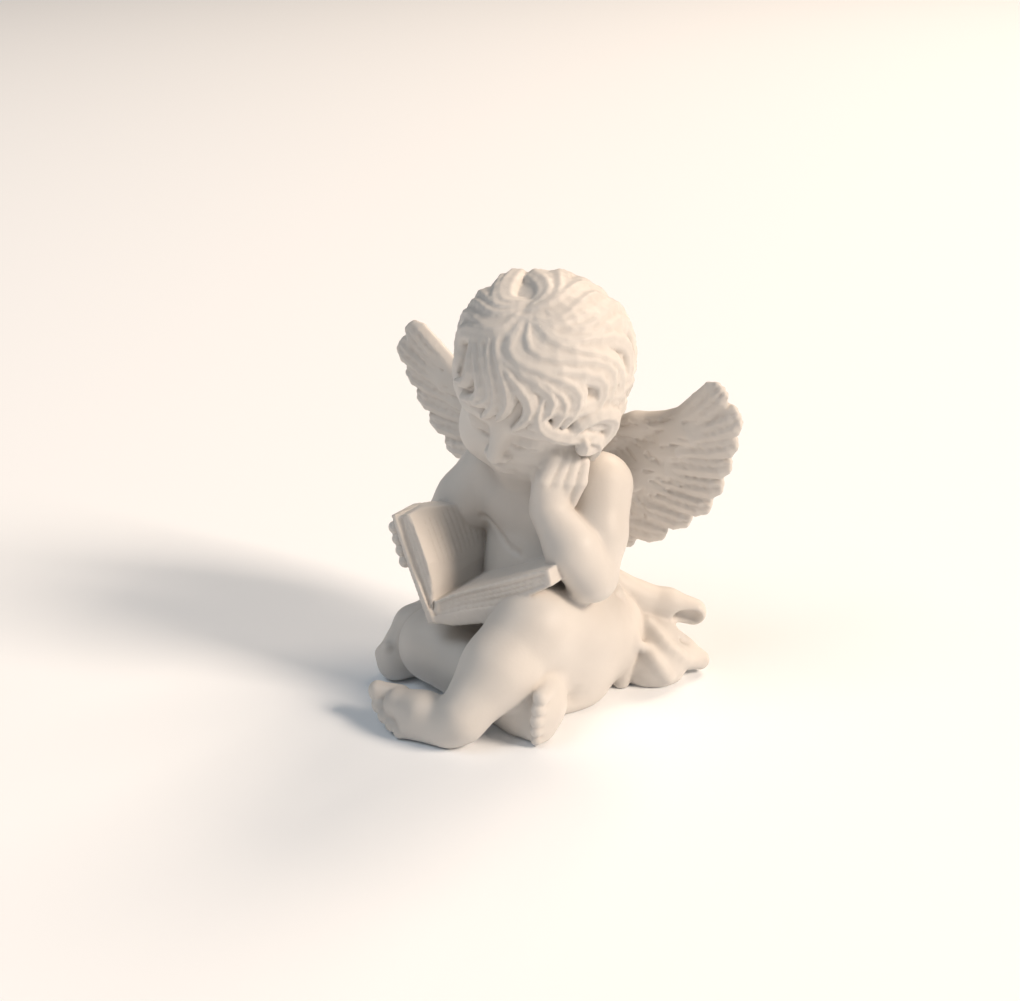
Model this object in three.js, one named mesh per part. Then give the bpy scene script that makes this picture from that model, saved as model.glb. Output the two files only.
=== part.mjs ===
// Seated cherub with an open book, cast as one solid. Millimetres, +Z up, the figure faces -Y.
// The form is worked out as a distance field from rounded parts, then skinned with triangles.
import * as THREE from 'three';

// Sizes of the sampling and of the skin.
const STEP = 1.1;
const TRIANGLES = 9900;
const CARE = 3;
const FAR = 12;
// The seat centre of the figure, moved so that the footprint's centre is the origin.
const SHIFT = [10.3, 19.5, 0];
const LOW = [-82, -76, -5.06];
const HIGH = [66, 42, 152];

// Head: where its centre is, and how far it nods and leans, in degrees.
const HEAD = [-0.5, -13.4, 112.7];
const NOD = 24;
const LEAN = 15;
// The cap of hair, measured from the head's centre, and its three radii.
const CAP = [0, -3, 3];
const CAP_R = [25.6, 27.8, 25.8];
// Book: foot of the spine at the near end, and the near top corner of the raised leaf.
const SPINE = [-22.6, 31.5];
const RAISED = [-36.8, 66.6];
const BOOK_FRONT = -46.5;
const BOOK_DEPTH = 45;
// Wings spread from this x.
const WING_AXIS = -8.5;

const clamp = THREE.MathUtils.clamp;
const rad = THREE.MathUtils.degToRad;
const vec = (p) => new THREE.Vector3(...p);

function soft(a, b, k) {
  if (k <= 0) {
    return Math.min(a, b);
  }
  const h = Math.max(k - Math.abs(a - b), 0) / k;
  return Math.min(a, b) - h * h * k * 0.25;
}

// Rotation columns for turns about x, then y, then z, in degrees.
function turn(rx, ry, rz) {
  const m = new THREE.Matrix4().makeRotationFromEuler(new THREE.Euler(rad(rx), rad(ry), rad(rz), 'ZYX'));
  return columns(m);
}

function columns(m) {
  const c = [new THREE.Vector3(), new THREE.Vector3(), new THREE.Vector3()];
  m.extractBasis(c[0], c[1], c[2]);
  return c.map((v) => v.toArray());
}

const along = (o, c, p) => [0, 1, 2].map((i) => o[i] + c[0][i] * p[0] + c[1][i] * p[1] + c[2][i] * p[2]);
const mix = (a, b, t) => a.map((v, i) => v * (1 - t) + b[i] * t);
const bounds = (points, r) => ({
  lo: [0, 1, 2].map((i) => Math.min(...points.map((p) => p[i])) - r),
  hi: [0, 1, 2].map((i) => Math.max(...points.map((p) => p[i])) + r),
});

// A block of samples of the distance to the surface; inside is negative.
class Field {
  constructor() {
    this.n = [0, 1, 2].map((i) => Math.ceil((HIGH[i] - LOW[i]) / STEP) + 1);
    this.d = new Float32Array(this.n[0] * this.n[1] * this.n[2]).fill(FAR);
  }

  // Visits the samples within reach of a shape.
  each(shape, reach, act) {
    const [nx, ny, nz] = this.n;
    const a = shape.lo.map((v, i) => Math.max(Math.floor((v - reach - LOW[i]) / STEP), 0));
    const b = shape.hi.map((v, i) => Math.min(Math.ceil((v + reach - LOW[i]) / STEP), this.n[i] - 1));
    for (let i = a[0]; i <= Math.min(b[0], nx - 1); i++) {
      const x = LOW[0] + i * STEP;
      for (let j = a[1]; j <= Math.min(b[1], ny - 1); j++) {
        const y = LOW[1] + j * STEP;
        for (let k = a[2]; k <= Math.min(b[2], nz - 1); k++) {
          const at = (i * ny + j) * nz + k;
          this.d[at] = act(this.d[at], shape.f(x, y, LOW[2] + k * STEP));
        }
      }
    }
    return this;
  }

  add(shape, k = 0) {
    return this.each(shape, k + 2.5 * STEP, (old, d) => soft(old, d, k));
  }

  cut(shape, k = 0) {
    return this.each(shape, k + 2.5 * STEP, (old, d) => -soft(-old, d, k));
  }

  join(other, k = 0) {
    this.d.forEach((v, i) => {
      if (other.d[i] < FAR) {
        this.d[i] = soft(v, other.d[i], k);
      }
    });
    return this;
  }
}

function egg(c, r, m = turn(0, 0, 0)) {
  const reach = [0, 1, 2].map((i) => Math.hypot(m[0][i] * r[0], m[1][i] * r[1], m[2][i] * r[2]));
  const f = (X, Y, Z) => {
    const p = [X - c[0], Y - c[1], Z - c[2]];
    const q = m.map((a) => a[0] * p[0] + a[1] * p[1] + a[2] * p[2]);
    const k0 = Math.hypot(q[0] / r[0], q[1] / r[1], q[2] / r[2]);
    const k1 = Math.hypot(q[0] / r[0] ** 2, q[1] / r[1] ** 2, q[2] / r[2] ** 2);
    return (k0 * (k0 - 1)) / Math.max(k1, 1e-6);
  };
  return { lo: c.map((v, i) => v - reach[i]), hi: c.map((v, i) => v + reach[i]), f };
}

// A chain of round cones through the points, softened by k where they meet.
function rod(points, radii, k = 1) {
  const pieces = points.slice(1).map((b, i) => {
    const a = points[i];
    const ab = b.map((v, n) => v - a[n]);
    const len = Math.hypot(...ab);
    const s = (radii[i] - radii[i + 1]) / len;
    const tilt = s / len / Math.sqrt(Math.max(1 - s * s, 1e-6));
    return { a, ab, len, tilt, ra: radii[i], rb: radii[i + 1] };
  });
  const f = (X, Y, Z) => {
    let d = null;
    for (const { a, ab, len, tilt, ra, rb } of pieces) {
      const x = X - a[0];
      const y = Y - a[1];
      const z = Z - a[2];
      const t = (x * ab[0] + y * ab[1] + z * ab[2]) / (len * len);
      const q = Math.hypot(x - ab[0] * t, y - ab[1] * t, z - ab[2] * t);
      const s = clamp(t - tilt * q, 0, 1);
      const e = Math.hypot(x - ab[0] * s, y - ab[1] * s, z - ab[2] * s) - (ra + (rb - ra) * s);
      d = d === null ? e : soft(d, e, k);
    }
    return d;
  };
  return { ...bounds(points, Math.max(...radii)), f };
}

// A flat strand through the points: w half its width and t half its thickness along n, at each point.
function blade(points, n, w, t, k = 0.6) {
  const pieces = points.slice(1).map((q, i) => {
    const a = vec(points[i]);
    const ab = vec(q).sub(a);
    const way = ab.clone().normalize();
    const up = vec(n[i]).add(vec(n[i + 1])).normalize();
    up.addScaledVector(way, -up.dot(way)).normalize();
    const side = way.clone().cross(up);
    return {
      a: a.toArray(),
      ab: ab.toArray(),
      l2: ab.lengthSq(),
      way: way.toArray(),
      up: up.toArray(),
      side: side.toArray(),
      w0: w[i],
      w1: w[i + 1],
      t0: t[i],
      t1: t[i + 1],
    };
  });
  const f = (X, Y, Z) => {
    let d = null;
    for (const p of pieces) {
      const x = X - p.a[0];
      const y = Y - p.a[1];
      const z = Z - p.a[2];
      const s = clamp((x * p.ab[0] + y * p.ab[1] + z * p.ab[2]) / p.l2, 0, 1);
      const dx = x - p.ab[0] * s;
      const dy = y - p.ab[1] * s;
      const dz = z - p.ab[2] * s;
      const wide = p.w0 + (p.w1 - p.w0) * s;
      const thick = p.t0 + (p.t1 - p.t0) * s;
      const u = (dx * p.side[0] + dy * p.side[1] + dz * p.side[2]) / wide;
      const v = (dx * p.up[0] + dy * p.up[1] + dz * p.up[2]) / thick;
      const g = (dx * p.way[0] + dy * p.way[1] + dz * p.way[2]) / thick;
      const q = Math.sqrt(u * u + v * v + g * g);
      const e = (q * (q - 1)) / Math.max(Math.hypot(u / wide, v / thick, g / thick), 1e-6);
      d = d === null ? e : soft(d, e, k);
    }
    return d;
  };
  return { ...bounds(points, Math.max(...w, ...t)), f };
}

// A plate: its outline in x and z runs back from y0 by depth; slant slides the front back past x0.
function slab(outline, y0, depth, slant = 0, x0 = 0) {
  const xs = outline.map((p) => p[0]);
  const zs = outline.map((p) => p[1]);
  const ends = [Math.min(...xs), Math.max(...xs)];
  const slide = ends.map((x) => slant * (x - x0));
  const f = (X, Y, Z) => {
    let near = Infinity;
    let sign = 1;
    outline.forEach((a, i) => {
      const b = outline[(i + outline.length - 1) % outline.length];
      const ex = b[0] - a[0];
      const ez = b[1] - a[1];
      const wx = X - a[0];
      const wz = Z - a[1];
      const t = clamp((wx * ex + wz * ez) / (ex * ex + ez * ez), 0, 1);
      near = Math.min(near, (wx - ex * t) ** 2 + (wz - ez * t) ** 2);
      const test = [Z >= a[1], Z < b[1], ex * wz > ez * wx];
      if (test.every(Boolean) || !test.some(Boolean)) {
        sign = -sign;
      }
    });
    const d = Math.sqrt(near) * sign;
    const w = Math.abs(Y - y0 - slant * (X - x0) - depth / 2) - depth / 2;
    return Math.min(Math.max(d, w), 0) + Math.hypot(Math.max(d, 0), Math.max(w, 0));
  };
  return {
    lo: [ends[0], y0 + Math.min(...slide), Math.min(...zs)],
    hi: [ends[1], y0 + depth + Math.max(...slide), Math.max(...zs)],
    f,
  };
}

function brick(c, half, m) {
  const reach = [0, 1, 2].map((i) => m.reduce((s, a, j) => s + Math.abs(a[i]) * half[j], 0));
  const f = (X, Y, Z) => {
    const p = [X - c[0], Y - c[1], Z - c[2]];
    const q = m.map((a, i) => Math.abs(a[0] * p[0] + a[1] * p[1] + a[2] * p[2]) - half[i]);
    return Math.hypot(...q.map((v) => Math.max(v, 0))) + Math.min(Math.max(...q), 0);
  };
  return { lo: c.map((v, i) => v - reach[i]), hi: c.map((v, i) => v + reach[i]), f };
}

// The head's own axes: to its left, out of the face, and up to the crown.
function headAxes() {
  const face = vec([0, -Math.cos(rad(NOD)), -Math.sin(rad(NOD))]);
  const up = vec([0, -Math.sin(rad(NOD)), Math.cos(rad(NOD))]);
  const left = vec([1, 0, 0]);
  const c = Math.cos(rad(LEAN));
  const s = Math.sin(rad(LEAN));
  const side = left.clone().multiplyScalar(c).addScaledVector(up, -s);
  const crown = up.multiplyScalar(c).addScaledVector(left, s);
  return [side.toArray(), face.toArray(), crown.toArray()];
}
const AXES = headAxes();
const inHead = (side, face, crown) => along(HEAD, AXES, [side, face, crown]);
const headEgg = (c, r) => egg(inHead(...c), r, AXES);

function torso() {
  const f = new Field();
  f.add(egg([-2, 4, 20], [22, 18, 19]));
  f.add(egg([-3, -4, 38], [22.5, 19.5, 21]), 8);
  f.add(egg([-5, -2, 60], [20.5, 16, 20]), 10);
  f.add(egg([-6, -2, 75], [18, 11.5, 11]), 8);
  f.add(egg([-14, 10, 16], [16, 18, 16]), 5);
  f.add(egg([11, 9, 16], [15, 17, 16]), 5);
  f.add(egg([-14, -13, 66], [9, 6, 8]), 6);
  f.add(egg([4, -13, 66], [9, 6, 8]), 6);
  f.add(rod([[-5, -5, 76], [-2, -10, 90]], [12, 10.5]), 6);
  return f;
}

// Left arm: the elbow rests on the thigh and the fingers lie up the cheek.
function leftArm(f) {
  const upper = new Field();
  upper.add(rod([[17, -3, 74.5], [21.5, -11, 61], [24, -18, 50]], [11.2, 9.3, 8.2], 3));
  f.join(upper, 5);
  const fore = new Field();
  fore.add(rod([[24.5, -20, 49.5], [19, -23, 59], [9.5, -23, 71]], [8.6, 8.8, 6.4], 3));
  fore.add(egg([10, -21.5, 78], [6, 8, 9], turn(0, 6, -10)), 3);
  const first = [[7.6, -26, 73.5], [10.4, -27.6, 83], [13.3, -25.5, 90.5]];
  const last = [[15.5, -18.5, 73], [18, -18, 81], [18.6, -16.5, 87]];
  for (let i = 0; i < 4; i++) {
    fore.add(rod(first.map((p, j) => mix(p, last[j], i / 3)), [1.8, 2.7, 2.2], 0.6), 0.7);
  }
  f.join(fore, 1.5);
}

// Right arm: the hand holds the raised leaf from outside.
function rightArm(f) {
  const arm = new Field();
  arm.add(rod([[-23.5, -6, 73], [-31, -11, 62], [-36, -16, 52]], [10.8, 10, 9], 3));
  arm.add(rod([[-36.5, -18, 51], [-37, -29, 51], [-35.5, -36, 55]], [8.6, 7, 5.2], 3), 3);
  for (let i = 0; i < 4; i++) {
    const knuckle = [-35.5 - 0.5 * i, -35, 49.5 + 3.6 * i];
    arm.add(rod([knuckle, [-34.6 - 1.3 * i, -42, 49 + 3.8 * i]], [2.5, 2.3], 0.5), 0.8);
  }
  f.join(arm, 4);
}

function leftLeg(f) {
  const leg = new Field();
  leg.add(rod([[13, 3, 18], [13, -16, 25], [11, -33, 33]], [16.5, 16, 14.3], 4));
  leg.add(rod([[16, 0, 14], [14, -14, 12], [12, -30, 22]], [13.5, 13, 12], 4), 4);
  leg.add(rod([[10, -36, 32], [7, -48, 23], [2, -62, 11.5]], [13.5, 12.3, 8.2], 4), 3);
  f.join(leg, 4);
  const foot = new Field();
  foot.add(rod([[1, -61, 9], [-3, -63, 7.5]], [7.8, 6.8], 3));
  foot.add(rod([[-1, -63.5, 7.5], [-12, -64, 8.4], [-22, -63.6, 8.6]], [7, 6.6, 5.6], 4), 3);
  foot.add(rod([[-3, -64, 4.5], [-15, -67, 4]], [5, 4.2], 2), 3);
  // Toe tips from the big toe down: x, y, z, radius.
  const toes = [[-31.2, -62.8, 10.2, 3.5], [-29, -65.4, 6.8, 2.7], [-25.4, -67.4, 4.7, 2.4]];
  toes.push([-21.6, -68.8, 3.3, 2.2], [-17.8, -69.8, 2.2, 2]);
  for (const [x, y, z, r] of toes) {
    const bones = [[x + 8, y + 1.6, z + 1], [x, y, z], [x - 0.7, y, z + 0.5]];
    foot.add(rod(bones, [r * 0.8, r, r * 0.9], 0.4), 0.6);
  }
  f.join(foot, 3);
}

function rightLeg(f) {
  const leg = new Field();
  leg.add(rod([[-17, 5, 17], [-25, -16, 17], [-29, -32, 16]], [16.5, 15, 12.5], 4));
  leg.add(rod([[-29, -33, 15], [-8, -38, 12], [14, -42, 9]], [12.5, 11, 8], 4), 3);
  f.join(leg, 3);
  const foot = new Field();
  foot.add(rod([[16, -35, 8], [20, -42, 10]], [7, 7], 3));
  foot.add(egg([21.5, -41, 10.5], [4.5, 11, 10.5], turn(0, 0, 10)), 2);
  foot.add(rod([[-2, -38.5, 5], [12, -42.5, 4.5], [20, -46, 4]], [8, 6.6, 4.6], 3), 3);
  for (let i = 0; i < 5; i++) {
    const t = i / 4;
    const tip = [23.8 - 1.2 * t, -50 - 1.3 * Math.sin(t * 3), 18 - 15.4 * t];
    foot.add(rod([[22.5, -44.5, 17.5 - 15 * t], tip], [2.6 - 0.5 * t, 2.5 - 0.6 * t], 0.5), 0.8);
  }
  f.join(foot, 3);
}

// The casting is filled in between the legs, so that it stands on one broad face.
function underside(f) {
  f.add(egg([-6, -14, 3], [31, 27, 9]), 4);
}

function head() {
  const h = new Field();
  h.add(headEgg([0, -2, 2], [25, 27.5, 26]));
  h.add(headEgg([0, 7, -14], [18.5, 18.5, 18]), 8);
  h.add(headEgg([0, 13.5, -31], [7.5, 7, 6.5]), 8);
  for (const s of [-1, 1]) {
    h.add(headEgg([11.5 * s, 12.5, -19.5], [9.6, 10, 11.5]), 6);
    h.add(headEgg([8.5 * s, 22, 1], [8, 4, 3.4]), 4);
  }
  for (const s of [-1, 1]) {
    h.cut(headEgg([9.5 * s, 27.5, -6], [6, 4, 3.6]), 4);
    h.add(headEgg([9.3 * s, 20.5, -6.5], [4.6, 4.2, 3.6]), 1.2);
  }
  h.add(rod([inHead(0, 23.5, 0), inHead(0, 27.8, -10)], [2.2, 2.3], 1), 3);
  h.add(headEgg([0, 28.6, -12], [2.6, 2.7, 2.2]), 1.5);
  for (const s of [-1, 1]) {
    h.add(headEgg([2.7 * s, 26.6, -12.8], [1.8, 2.4, 1.7]), 1);
  }
  h.add(headEgg([0, 23, -18.9], [5.2, 4, 2]), 2);
  h.add(headEgg([0, 22, -22], [4.2, 3.6, 2]), 2);
  h.cut(rod([inHead(-5.2, 25, -20), inHead(0, 27.2, -20.4), inHead(5.2, 25, -20)], [0.5, 0.7, 0.5], 0.3), 1);
  return h;
}

// Fans of locks: the first and the last root, the first and the last tip (degrees round from the
// face towards the left ear, then up), sway in degrees, and how far off the head from root to tip.
const FANS = [
  { count: 5, roots: [[-24, 72], [-34, 76]], tips: [[104, 34], [200, 36]], sway: 8, wide: 4.6, thick: 3,
    lifts: [-0.6, 0.4, 0.8, 1.6] },
  { count: 8, roots: [[-34, 68], [-12, 72]], tips: [[-44, 2], [34, 2]], sway: 11, wide: 3.4, thick: 2.9,
    lifts: [0, 0.3, 1, 2.6] },
  { count: 7, roots: [[-14, 72], [10, 84]], tips: [[44, 2], [126, 4]], sway: 13, wide: 4.4, thick: 3.4,
    lifts: [-0.4, 0.4, 1, 3] },
  { count: 5, roots: [[44, 26], [104, 24]], tips: [[60, -6], [116, -22]], sway: 9, wide: 4.2, thick: 3,
    lifts: [-0.6, 0.4, 1.2, 3] },
  { count: 6, roots: [[-40, 74], [-60, 80]], tips: [[-50, 12], [-112, 28]], sway: -9, wide: 4.6, thick: 3.4,
    lifts: [-1, 0.6, 2.2, 1.8] },
  { count: 3, roots: [[58, 6], [82, -12]], tips: [[102, -30], [110, -42]], sway: 6, wide: 4.6, thick: 2.8,
    lifts: [0.8, 2.4, 3] },
];
const STAGGER = 4; // degrees that every second tip hangs lower

function direction([round, up]) {
  const c = Math.cos(rad(up));
  return [c * Math.sin(rad(round)), c * Math.cos(rad(round)), Math.sin(rad(up))];
}

// Points spaced evenly in parameter along a smooth curve.
function smooth(points, count) {
  const curve = new THREE.CatmullRomCurve3(points.map(vec), false, 'catmullrom', 0.5);
  return Array.from({ length: count }, (_, i) => curve.getPoint(i / (count - 1)));
}

// The value at s, from 0 to 1, along evenly spaced steps.
function level(steps, s) {
  const q = s * (steps.length - 1);
  const i = Math.min(Math.floor(q), steps.length - 2);
  return steps[i] + (steps[i + 1] - steps[i]) * (q - i);
}

// How wide a lock is along its length: a leaf narrows to its tip, and a curl keeps more of its width.
const bulge = (s) => Math.sin(Math.PI * clamp(s, 0, 1));
const leaf = (s) => 0.35 + 0.65 * bulge(0.88 * s + 0.08) ** 0.7;
const curl = (s) => 0.4 + 0.6 * bulge(0.85 * s + 0.1);

// Directions over the head from root to tip, swaying once to each side on the way.
function sweep(root, tip, sway) {
  const a = vec(direction(root));
  const b = vec(direction(tip));
  const side = a.clone().cross(b).normalize();
  return Array.from({ length: 13 }, (_, i) => {
    const bend = Math.sin((2 * Math.PI * i) / 12) * rad(sway);
    return a.clone().lerp(b, i / 12).addScaledVector(side, bend);
  });
}

// A lock of hair that follows the cap; lifts are how far it stands off, from root to tip.
function lock(h, way, wide, thick, lifts, slim, k = 0.5) {
  const count = way.length;
  const ways = way.map((v) => v.clone().normalize().toArray());
  const share = (i) => i / (count - 1);
  const points = ways.map((c, i) => {
    const out = level(lifts, share(i));
    return inHead(...c.map((v, a) => v * (CAP_R[a] + out) + CAP[a]));
  });
  const n = ways.map((c) => along([0, 0, 0], AXES, vec(c.map((v, a) => v / CAP_R[a])).normalize().toArray()));
  const widths = points.map((_, i) => wide * slim(share(i)));
  const depths = points.map((_, i) => thick * (0.5 + 0.5 * bulge(0.85 * share(i) + 0.1)));
  h.add(blade(points, n, widths, depths, 0.4), k);
}

function hair() {
  const h = new Field();
  h.add(headEgg(CAP, CAP_R));
  h.add(headEgg([0, -18, -10], [20, 10, 16]), 4);
  h.add(headEgg([1, -9, 9], [18, 15, 21.2]), 4);
  h.cut(headEgg([0, 26, -24], [25, 24, 24]), 2);
  h.cut(headEgg([-17, 12, -22], [10, 16, 17]), 2);
  h.add(headEgg([20.5, 0, -8], [6.5, 12, 16]), 3);
  for (const { count, roots, tips, sway, wide, thick, lifts } of FANS) {
    for (let i = 0; i < count; i++) {
      const t = i / (count - 1);
      const [round, up] = mix(...tips, t);
      const bend = sway * (1 + 0.4 * Math.sin(9 * t));
      const way = sweep(mix(...roots, t), [round, up - STAGGER * (i % 2)], bend);
      lock(h, way, wide, thick, lifts, leaf);
    }
  }
  // A ring curl over the left ear, and a long lock in front of it.
  const ring = Array.from({ length: 9 }, (_, i) => {
    const angle = rad(165 - (355 * i) / 8);
    const reach = 18 - (9 * i) / 8;
    return direction([64 + reach * Math.cos(angle), -14 + reach * Math.sin(angle)]);
  });
  lock(h, smooth(ring, 18), 3.4, 3.2, [2, 6.5], curl, 0.6);
  lock(h, sweep([30, 22], [66, -38], 9), 3.2, 2.8, [0.6, 2, 4, 8], curl, 0.6);
  h.cut(headEgg([25, 1, -13], [4, 2.6, 3.4]), 1);
  // The back hangs in two rows of waved locks.
  const rows = [[0, 64, -6, [-1.8, -0.2, 0.4, 1.8]], [9.7, 16, -48, [0.2, 0.6, 2.8, 6.2]]];
  for (let i = 0; i < 9; i++) {
    const round = 124 + 19.5 * i;
    for (const [shift, top, foot, lifts] of rows) {
      const run = [0, 1, 2, 3].map((j) => {
        return [round + shift + 9 * (-1) ** j, top + ((foot - top) * j) / 3];
      });
      lock(h, smooth(run.map(direction), 9), 4.4, 3.3, lifts, leaf);
    }
  }
  // The right side, before the ear.
  for (let i = 0; i < 3; i++) {
    for (const [top, foot, shift] of [[44, 4, 0], [14, -26, 8]]) {
      const round = -60 - 20 * i + shift;
      const down = (q) => top + (foot - top) * q;
      const run = [[round, top], [round - 8, down(0.4)], [round + 4, down(0.7)], [round + 10, foot]];
      lock(h, smooth(run.map(direction), 8), 4.6, 3, [0.3, 0.4, 1.7], leaf);
    }
  }
  return h;
}

// The open book: a raised leaf against the right arm and a low leaf across the left knee.
function book() {
  const b = new Field();
  const run = [RAISED[0] - SPINE[0], RAISED[1] - SPINE[1]];
  const out = [0.928, 0.371];
  const at = (t, w) => [SPINE[0] + run[0] * t + out[0] * w, SPINE[1] + run[1] * t + out[1] * w];
  const cover = [[-0.02, -0.3], [0.5, -0.5], [1, 0], [1, 1.6], [0.5, 1.2], [-0.02, 2.5]];
  const pages = [[0.02, 1], [0.97, 1], [0.97, 6.2], [0.75, 7.2], [0.5, 7.2]];
  pages.push([0.3, 5.6], [0.17, 3.8], [0.1, 2.4]);
  b.add(slab(cover.map((p) => at(...p)), BOOK_FRONT, BOOK_DEPTH));
  b.add(slab(pages.map((p) => at(...p)), BOOK_FRONT + 1.1, BOOK_DEPTH - 1), 0.3);
  b.cut(brick([-30, -24, 70.5], [14, 34, 6], turn(-13, 0, 0)), 0.3);
  const middle = [[19.8, 51.6], [9.5, 45], [2.5, 42], [-11.6, 37.3], [-21.8, 33]];
  const under = [[-22.6, 31], [-13.4, 31.6], [-4.6, 34], [3, 37], [8, 41.5]];
  const over = [[-21, 38.4], [-16, 41.6], [-11.6, 44], [2.5, 50.2], [12, 54.6], [18.6, 57.2]];
  b.add(slab([...under, ...middle.slice(1)], BOOK_FRONT, BOOK_DEPTH - 1, 0.195, SPINE[0]));
  b.add(slab([...middle, ...over], BOOK_FRONT + 1.1, BOOK_DEPTH - 3, 0.195, SPINE[0]), 0.3);
  return b;
}

// Flight feathers, top to bottom: root, middle and tip as distance from the wing's axis and height,
// then half the width.
const FLIGHT = [
  [[44, 93], [53, 101.5], [60, 109], 5.2],
  [[42, 90], [56, 95.5], [65.2, 100.5], 6.2],
  [[40, 86], [54, 88.5], [63.5, 91.5], 6],
  [[36, 81], [50, 81.5], [61, 82.5], 6.4],
  [[31, 76], [46, 73.5], [57.5, 73.5], 6.4],
  [[25, 71], [40, 66.5], [52.5, 64], 6.2],
  [[18, 66], [32, 60.5], [44.5, 56.5], 6.4],
  [[11, 61], [23, 54], [36, 50.5], 6.4],
  [[7, 56], [14, 50], [25.5, 46.5], 6],
];
// Shorter feathers that lie over them, front and back.
const COVERT = [
  [[38, 89], [53, 93.5], 4.8],
  [[34, 84], [48, 86], 4.8],
  [[29, 78], [44, 78], 5],
  [[23, 73], [38, 69.5], 5],
  [[16, 68], [29, 62.5], 5],
  [[10, 62], [21, 55.5], 5],
];

function wing(side) {
  const w = new Field();
  const back = (u, z) => 12.8 + 0.24 * (115 - z) * Math.min(1, u / 45);
  const at = ([along, up], y) => {
    // The right wing stands a little wider and its tip a little higher.
    const u = side < 0 ? 1.05 * along : along;
    const z = side < 0 ? up + 2.5 * (along / 62) ** 3 : up;
    return [WING_AXIS + side * u, y ?? back(u, z), z];
  };
  const n = (count) => Array(count).fill([0, -1, 0]);
  const palm = [at([6, 60], 13), at([16, 72], 16), at([27, 81]), at([40, 88]), at([53, 97])];
  w.add(blade(palm, n(5), [13, 13, 12, 8.5, 6], [4.2, 4.2, 3.6, 3, 2.6]));
  const bone = [at([8, 72], 12), at([19, 86], 15), at([28, 91]), at([42, 93.5]), at([52, 101])];
  w.add(rod(bone, [7, 4.6, 3.6, 3, 2.4], 2), 3);
  for (const [root, middle, tip, half] of FLIGHT) {
    const [a, m, e] = [root, middle, tip].map((p) => at(p));
    const wide = [1, 1.05, 1, 0.7].map((q) => q * half);
    w.add(blade([a, m, mix(m, e, 0.7), mix(m, e, 0.96)], n(4), wide, [3, 2.8, 2.3, 1.5], 0.6), 0.4);
  }
  for (const [root, tip, half] of COVERT) {
    for (const off of [-1.8, 1.8]) {
      const a = at(root);
      const e = at(tip);
      const m = mix(a, e, 0.65);
      const points = [[a[0], a[1] + off, a[2]], [m[0], m[1] + off, m[2]], [e[0], e[1] + off * 0.8, e[2]]];
      w.add(blade(points, n(3), [half, half, half * 0.6], [2.2, 2.1, 1.4], 0.5), 1.2);
    }
  }
  return w;
}

// Drapery: a train that falls from the back of the waist over the left hip, and a fold at the right knee.
function cloth() {
  const c = new Field();
  c.add(egg([29, 15, 6], [13, 13, 11.5]));
  c.add(rod([[13, 11, 34], [21, 18, 26], [30, 24, 23.6], [38, 28, 21]], [5, 6, 5.4, 4.8], 2), 4);
  c.add(rod([[22, 12, 18], [30, 17, 14], [37, 22, 8], [42.5, 25.5, 4.6]], [6, 6, 5, 3.6], 2), 3);
  const hem = [[14, 9, 37.5], [20, 4.5, 32.5], [25, 2.5, 26], [28, 1, 17], [25, 1, 2]];
  c.add(rod(hem, [3, 2.6, 2.4, 2.4, 3], 1), 1.2);
  c.cut(rod([[35, 23, 21], [40, 24, 19.5]], [2.2, 3.8], 1), 1.5);
  c.cut(rod([[38, 19, 13.5], [48, 29, 11.5]], [0.6, 3.4], 1), 2);
  c.add(rod([[31.5, 8, 20], [36.5, 9, 14.5], [41, 14.5, 10], [44, 20, 5]], [1.7, 1.7, 1.7, 1.7], 1), 2.5);
  c.add(rod([[31, 3, 18], [36, 5, 11.5], [40, 9, 4]], [1.7, 1.7, 1.7], 1), 2.5);
  c.add(rod([[-34, -18, 24], [-41, -30, 19], [-44, -36, 8]], [6, 6.4, 7], 2), 3);
  c.add(rod([[-38, -24, 6], [-44, -37, 5]], [8, 5], 2), 3);
  c.add(rod([[-38, -14, 5], [-30, 8, 5], [-18, 24, 4]], [6, 7, 5], 2), 3);
  c.add(rod([[-44, -41, 14], [-49, -38, 9], [-49, -33, 3]], [1.4, 1.8, 1.6], 1), 2);
  return c;
}

// The whole figure, with its underside sliced level with the ground.
function figure() {
  const f = torso();
  leftArm(f);
  rightArm(f);
  leftLeg(f);
  rightLeg(f);
  underside(f);
  f.join(head(), 3);
  f.join(hair(), 0.5);
  f.join(book(), 0.5);
  f.join(wing(1), 1.5);
  f.join(wing(-1), 1.5);
  f.join(cloth(), 0.8);
  const nz = f.n[2];
  f.d.forEach((v, i) => {
    f.d[i] = Math.max(v, -(LOW[2] + (i % nz) * STEP));
  });
  return f;
}

const CORNERS = Array.from({ length: 8 }, (_, c) => [c >> 2, (c >> 1) & 1, c & 1]);
const EDGES = CORNERS.flatMap((a, i) => CORNERS.flatMap((b, j) => {
  const apart = a.reduce((s, v, n) => s + Math.abs(v - b[n]), 0);
  return j > i && apart === 1 ? [[i, j]] : [];
}));

// True where the corners of a cell split so that two sheets of skin would meet in it.
function splits(code) {
  const groups = (want) => {
    const left = new Set(CORNERS.map((_, i) => i).filter((i) => ((code >> i) & 1) === want));
    let count = 0;
    while (left.size > 0) {
      count += 1;
      const todo = [left.values().next().value];
      left.delete(todo[0]);
      while (todo.length > 0) {
        const at = todo.pop();
        for (const [i, j] of EDGES) {
          const next = i === at ? j : i;
          if ((i === at || j === at) && left.delete(next)) {
            todo.push(next);
          }
        }
      }
    }
    return count;
  };
  const checkered = [0, 1, 2].some((axis) => [0, 1].some((end) => {
    const face = CORNERS.map((c, i) => i).filter((i) => CORNERS[i][axis] === end);
    const [p, q, r, s] = face.map((i) => (code >> i) & 1);
    return p === s && q === r && p !== q;
  }));
  return groups(0) > 1 || groups(1) > 1 || checkered;
}
const SPLIT = Array.from({ length: 256 }, (_, code) => splits(code));

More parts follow.
